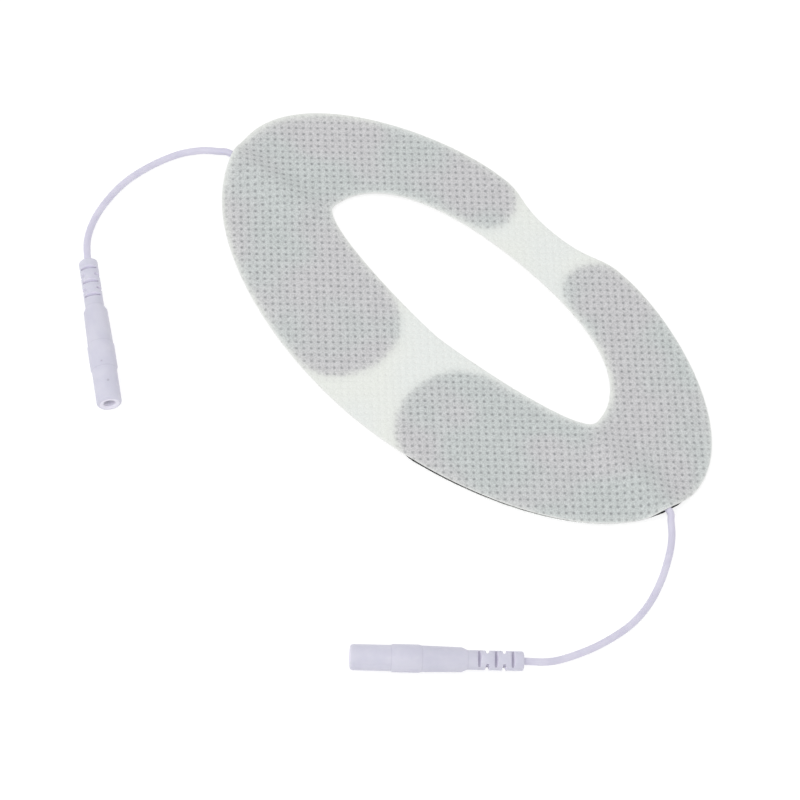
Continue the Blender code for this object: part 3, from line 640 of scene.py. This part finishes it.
def make_cover():
    """The fabric ring, as one closed mesh with its relief and what its material reads."""
    outer_rim, hole_rim = rim_loops("nonwoven_cover")
    outer, hole = smooth_loop(outer_rim, EDGE_SPACING), smooth_loop(hole_rim, EDGE_SPACING)
    top, top_faces, top_rim = triangulate(fabric_points(outer, hole), outer, hole)
    low, low_faces, low_rim = triangulate(underside_points(outer, hole), outer, hole)
    edge_depth = np.minimum(depth_inside(top, outer), -depth_inside(top, hole))
    edge_depth[top_rim] = 0.0
    rim = np.vstack([outer, hole])
    rim_height = FILM_TOP + drape_height(rim) + COVER_THICKNESS / 2
    places = np.vstack([
        np.column_stack([top, fabric_top(top, edge_depth)]),
        np.column_stack([rim, rim_height]),
        np.column_stack([low, FILM_TOP + drape_height(low)]),
    ])
    middle, bottom = len(top), len(top) + len(rim)
    walls, first = [], 0
    for loop in (outer, hole):
        for step in range(len(loop)):
            here, there = first + step, first + (step + 1) % len(loop)
            walls.append([top_rim[here], middle + here, middle + there, top_rim[there]])
            walls.append([middle + here, bottom + low_rim[here], bottom + low_rim[there], middle + there])
        first += len(loop)
    under = [[bottom + index for index in reversed(face)] for face in low_faces]
    mesh = bpy.data.meshes.new("fabric_ring")
    mesh.from_pydata(places.tolist(), [], top_faces + walls + under)
    mesh.shade_smooth()
    mesh.set_sharp_from_angle(angle=math.radians(45.0))
    edge_depth = np.concatenate([edge_depth, np.zeros(len(rim) + len(low))])
    return finish_cover(mesh, edge_depth, len(top_faces) + len(walls))


def finish_cover(mesh, edge_depth, underside_start):
    """Give the fabric mesh its attributes and its two materials, and put it on the pad."""
    places = np.array([vertex.co[:] for vertex in mesh.vertices])[:, :2]
    depths = []
    for name in SIDE_NAMES.values():
        film = smooth_loop(rim_loops(f"carbon_film_{name}")[0], FILM_EDGE_SPACING)
        depths.append(depth_inside(places, film))
    cells, distance = lattice_cells(places)
    strength = 0.8 + 0.2 * dot_variation(cells)
    for name, values in (
        ("film_depth", np.maximum(*depths) / MM),
        ("dot_distance", distance / MM),
        ("dot_strength", strength),
        ("edge_depth", edge_depth / MM),
    ):
        stored = mesh.attributes.new(name, "FLOAT", "POINT")
        stored.data.foreach_set("value", values.astype(np.float32))
    mesh.materials.append(fabric_material())
    mesh.materials.append(adhesive_material())
    numbers = np.zeros(len(mesh.polygons), np.int32)
    numbers[underside_start:] = 1
    mesh.polygons.foreach_set("material_index", numbers)
    cover = add_object("fabric_ring", mesh)
    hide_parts("nonwoven_cover")
    return cover


# Gel


def make_gel(name, material):
    """One gel layer with soft, slightly bulging edges."""
    node = f"gel_pad_{name}"
    low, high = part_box(node)
    loop = smooth_loop(rim_loops(node)[0], GEL_EDGE_SPACING)
    ahead = np.roll(loop, -1, axis=0) - np.roll(loop, 1, axis=0)
    inward = np.column_stack([-ahead[:, 1], ahead[:, 0]]) / np.linalg.norm(ahead, axis=1)[:, None]
    height = high.z - low.z
    rings = []
    for inset, share in GEL_EDGE:
        ring = loop + inward * (inset * MM)
        rings.append(np.column_stack([ring, np.full(len(loop), low.z + share * height)]))
    count = len(loop)
    faces = [list(reversed(range(count))), [(len(rings) - 1) * count + step for step in range(count)]]
    for ring in range(len(rings) - 1):
        for step in range(count):
            here, there = ring * count + step, ring * count + (step + 1) % count
            faces.append([here, there, there + count, here + count])
    mesh = bpy.data.meshes.new(f"hydrogel_{name}")
    mesh.from_pydata(np.vstack(rings).tolist(), [], faces)
    mesh.shade_smooth()
    mesh.materials.append(material)
    gel = add_object(mesh.name, mesh)
    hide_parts(node)


# Leads and connectors


def connector_matrix(side):
    """Place of a connector: local +Z runs from the end of its strain relief to its mouth."""
    place = CONNECTORS[side]
    heading = Matrix.Rotation(math.radians(place["heading"]), 4, "Z")
    lay_down = Matrix.Rotation(math.radians(90.0), 4, "Y")
    return Matrix.Translation((*place["end"], CONNECTOR_Z)) @ heading @ lay_down


def lead_route(side):
    """The route's own points: under the fabric, round the bow and into the connector."""
    outward = Vector((math.cos(LEAD_TILT), -math.sin(LEAD_TILT), 0.0))
    exit_point = Vector((LEAD_EXIT_X, LEAD_EXIT_Y[side], BURIED_Z))
    matrix = connector_matrix(side)
    under_fabric, inside = [], []
    for step in range(STRAIGHT_STEPS + 1):
        share = step / STRAIGHT_STEPS
        point = exit_point - outward * (BURIED_LENGTH * (1.0 - share))
        under_fabric.append(Vector((side * point.x, point.y, point.z)))
        inside.append(matrix @ Vector((0.0, 0.0, JACKET_END * share)))
    return under_fabric + [Vector(point) for point in BOWS[side]] + inside


def smooth_route(points, spacing):
    """Points at an even spacing on a smooth curve through the given points."""
    ends = [2 * points[0] - points[1]] + points + [2 * points[-1] - points[-2]]
    dense = []
    for before, start, end, after in zip(ends, ends[1:], ends[2:], ends[3:]):
        for step in range(CURVE_STEPS):
            dense.append(curve_between(before, start, end, after, step / CURVE_STEPS))
    dense.append(points[-1])
    lengths = [0.0]
    for start, end in zip(dense, dense[1:]):
        lengths.append(lengths[-1] + (end - start).length)
    targets = np.linspace(0.0, lengths[-1], round(lengths[-1] / spacing) + 1)
    places = np.array([point[:] for point in dense])
    return np.column_stack([np.interp(targets, lengths, places[:, axis]) for axis in range(3)])


def make_lead(side, material):
    """The insulated lead, from under the fabric into its connector."""
    name = SIDE_NAMES[side]
    curve = bpy.data.curves.new(f"lead_wire_{name}", "CURVE")
    curve.dimensions = "3D"
    curve.bevel_depth = LEAD_DIAMETER / 2
    curve.bevel_resolution = 6
    curve.use_fill_caps = True
    route = smooth_route(lead_route(side), LEAD_POINT_SPACING)
    spline = curve.splines.new("POLY")
    spline.points.add(len(route) - 1)
    for spline_point, point in zip(spline.points, route):
        spline_point.co = (*point, 1.0)
    spline.use_smooth = True
    curve.materials.append(material)
    lead = add_object(curve.name, curve)
    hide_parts(f"lead_{name}")


def smooth_copy(node, name, material, edge_round, sharp_angle):
    """A smooth-shaded copy of a turned CAD piece, with its sharp edges rounded where a rounding is given.
    """
    work = bmesh.new()
    work.from_mesh(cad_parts[node].data)
    bmesh.ops.remove_doubles(work, verts=work.verts, dist=WELD_DISTANCE)
    flat = math.radians(1.0)
    bmesh.ops.dissolve_limit(work, angle_limit=flat, verts=work.verts, edges=work.edges)
    mesh = bpy.data.meshes.new(name)
    work.to_mesh(mesh)
    work.free()
    mesh.shade_smooth()
    mesh.materials.append(material)
    piece = add_object(name, mesh)
    if edge_round:
        rounding = piece.modifiers.new("edges", "BEVEL")
        rounding.width = edge_round
        rounding.segments = 2
        rounding.limit_method = "ANGLE"
        rounding.angle_limit = sharp_angle
        rounding.harden_normals = True
    else:
        mesh.set_sharp_from_angle(angle=sharp_angle)
    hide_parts(node)
    return piece


def mark_housing(housing, side, painted_hollow_vinyl):
    """Store the place along the connector, and give its slots and mouth a paler vinyl of painted light.

    The flat front is a few large faces, and those with their middle near the axis count too.
    """
    mesh = housing.data
    inverse = connector_matrix(side).inverted()
    along = [(inverse @ vertex.co).z / MM for vertex in mesh.vertices]
    mesh.attributes.new("along", "FLOAT", "POINT").data.foreach_set("value", along)
    mesh.materials.append(painted_hollow_vinyl)
    for polygon in mesh.polygons:
        middle = inverse @ polygon.center
        radius = math.hypot(middle.x, middle.y)
        facing_along = abs((inverse.to_3x3() @ polygon.normal).z) > 0.3
        in_slot = SLOTS_START < middle.z < SLOTS_END and (facing_along or radius < SLOT_FACE_RADIUS)
        in_mouth = middle.z > MOUTH_START and radius < MOUTH_FACE_RADIUS
        # Painted light: these faces get the paler vinyl, and the slots among them painted shade in their
        # middles
        if in_slot or in_mouth:
            polygon.material_index = 1


def make_mould_marks(side, material):
    """The small round marks on the connector where the vinyl met the gate and pin of its mould."""
    discs = bmesh.new()
    lay_out = Matrix.Rotation(math.radians(-90.0), 4, "Y")
    for mark in MOULD_MARKS:
        turn = Matrix.Rotation(-math.radians(mark["turn"] + MARKS_TURN[side]), 4, "Z")
        place = Matrix.Translation((0.0, 0.0, mark["along"])) @ turn
        bmesh.ops.create_cone(
            discs,
            cap_ends=True,
            segments=MARK_SIDES,
            radius1=mark["radius"],
            radius2=mark["radius"] * 0.8,
            depth=MARK_HEIGHT * 2,
            matrix=place @ Matrix.Translation((-mark["on"], 0.0, 0.0)) @ lay_out,
        )
    mesh = bpy.data.meshes.new(f"mould_marks_{SIDE_NAMES[side]}")
    discs.to_mesh(mesh)
    discs.free()
    mesh.materials.append(material)
    mesh.transform(connector_matrix(side))
    marks = add_object(mesh.name, mesh)
    return marks


def make_connector(side, vinyl, painted_hollow_vinyl, mark_vinyl, nickel, copper):
    """The connector's housing and contact, and both stripped ends of its lead."""
    name = SIDE_NAMES[side]
    node, piece = f"connector_housing_{name}", f"moulded_connector_{name}"
    housing = smooth_copy(node, piece, vinyl, HOUSING_EDGE_ROUND, TURNED_SHARP_ANGLE)
    mark_housing(housing, side, painted_hollow_vinyl)
    node, piece = f"socket_contact_{name}", f"sleeve_{name}"
    contact = smooth_copy(node, piece, nickel, 0.0, TURNED_SHARP_ANGLE)
    stripped = {}
    for end in ("crimped", "bare"):
        node, piece = f"{end}_conductor_{name}", f"{end}_strands_{name}"
        stripped[end] = smooth_copy(node, piece, copper, 0.0, STRANDS_SHARP_ANGLE)
    return [housing, contact, stripped["crimped"], make_mould_marks(side, mark_vinyl)]


# Stage and light


def seen_straight(tree):
    """1 for rays from the camera, and for what metal and glass show of the background."""
    light_path = add_node(tree, "ShaderNodeLightPath")
    seen = light_path.outputs["Is Camera Ray"]
    for name in ("Is Glossy Ray", "Is Transmission Ray"):
        seen = calculate(tree, "MAXIMUM", seen, light_path.outputs[name])
    return seen


def make_floor():
    """A pale floor that the camera sees as white, with the pad's own shadow on it."""
    bpy.ops.mesh.primitive_plane_add(size=FLOOR_SIDE)
    floor = bpy.context.object
    floor.name = "floor"
    material = bpy.data.materials.new("floor")
    material.use_nodes = True
    tree = material.node_tree
    tree.nodes.clear()
    plain = add_node(tree, "ShaderNodeBsdfDiffuse", {"Color": FLOOR_COLOUR})
    shaded = add_node(tree, "ShaderNodeBsdfDiffuse", {"Color": FLOOR_SEEN_COLOUR})
    glow = add_node(tree, "ShaderNodeEmission", {"Color": WHITE_LIGHT, "Strength": FLOOR_SEEN_GLOW})
    bright = add_node(tree, "ShaderNodeAddShader", {0: shaded.outputs[0], 1: glow.outputs[0]})
    values = {0: seen_straight(tree), 1: plain.outputs[0], 2: bright.outputs[0]}
    shown = add_node(tree, "ShaderNodeMixShader", values)
    output = add_node(tree, "ShaderNodeOutputMaterial")
    tree.links.new(shown.outputs[0], output.inputs["Surface"])
    floor.data.materials.append(material)


def make_world():
    """Even light from all round, and white where the camera sees past the floor."""
    world = bpy.data.worlds.new("studio")
    world.use_nodes = True
    tree = world.node_tree
    tree.nodes.clear()
    around = add_node(tree, "ShaderNodeBackground", {"Color": WHITE_LIGHT, "Strength": WORLD_LEVEL})
    behind = add_node(tree, "ShaderNodeBackground", {"Color": WHITE_LIGHT, "Strength": 1.0})
    values = {0: seen_straight(tree), 1: around.outputs[0], 2: behind.outputs[0]}
    shown = add_node(tree, "ShaderNodeMixShader", values)
    output = add_node(tree, "ShaderNodeOutputWorld")
    tree.links.new(shown.outputs[0], output.inputs["Surface"])
    bpy.context.scene.world = world


def make_lamp(name, direction, distance, size, power):
    """A square soft light that looks at the pad."""
    data = bpy.data.lights.new(name, "AREA")
    data.shape = "SQUARE"
    data.size = size
    data.energy = power
    lamp = bpy.data.objects.new(name, data)
    bpy.context.scene.collection.objects.link(lamp)
    towards = Vector(direction).normalized()
    lamp.location = CAMERA_TARGET + towards * distance
    lamp.rotation_euler = towards.to_track_quat("Z", "Y").to_euler()


def main():
    """Dress the pad, light it and set the view."""
    scene = bpy.context.scene
    scene.view_settings.view_transform = "Standard"
    make_camera()
    slots = [SLOT_FIRST + SLOT_PITCH * index for index in range(SLOT_COUNT)]
    insulation = vinyl_material("lead", INSULATION, 0.38)
    # Painted shade along the moulded rings
    housing = vinyl_material("connector", HOUSING, 0.45, MOULDED_RINGS, RING_WIDTH, RING_SHADE)
    # Paler vinyl of painted light for the slots and mouth, with painted shade in the slots' middles
    painted_hollows = vinyl_material("connector_painted_hollows", PAINTED_LIGHT_HOLLOWS, 0.6, slots, SLOT_SHADE_WIDTH, SLOT_SHADE)
    marks = vinyl_material("connector_marks", MARKS, 0.6)
    nickel = metal_material("contact", NICKEL, 0.45)
    copper = metal_material("conductor", COPPER, 0.35)
    for side in SIDE_NAMES:
        connector = make_connector(side, housing, painted_hollows, marks, nickel, copper)
        make_lead(side, insulation)
    cover = make_cover()
    film, gel = film_material(), gel_material()
    for name in SIDE_NAMES.values():
        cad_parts[f"carbon_film_{name}"].material_slots[0].material = film
        make_gel(name, gel)
    outer, hole = rim_loops("nonwoven_cover")
    make_floor()
    make_world()
    make_lamp("key", KEY_DIRECTION, KEY_DISTANCE, KEY_SIZE, KEY_POWER)


main()
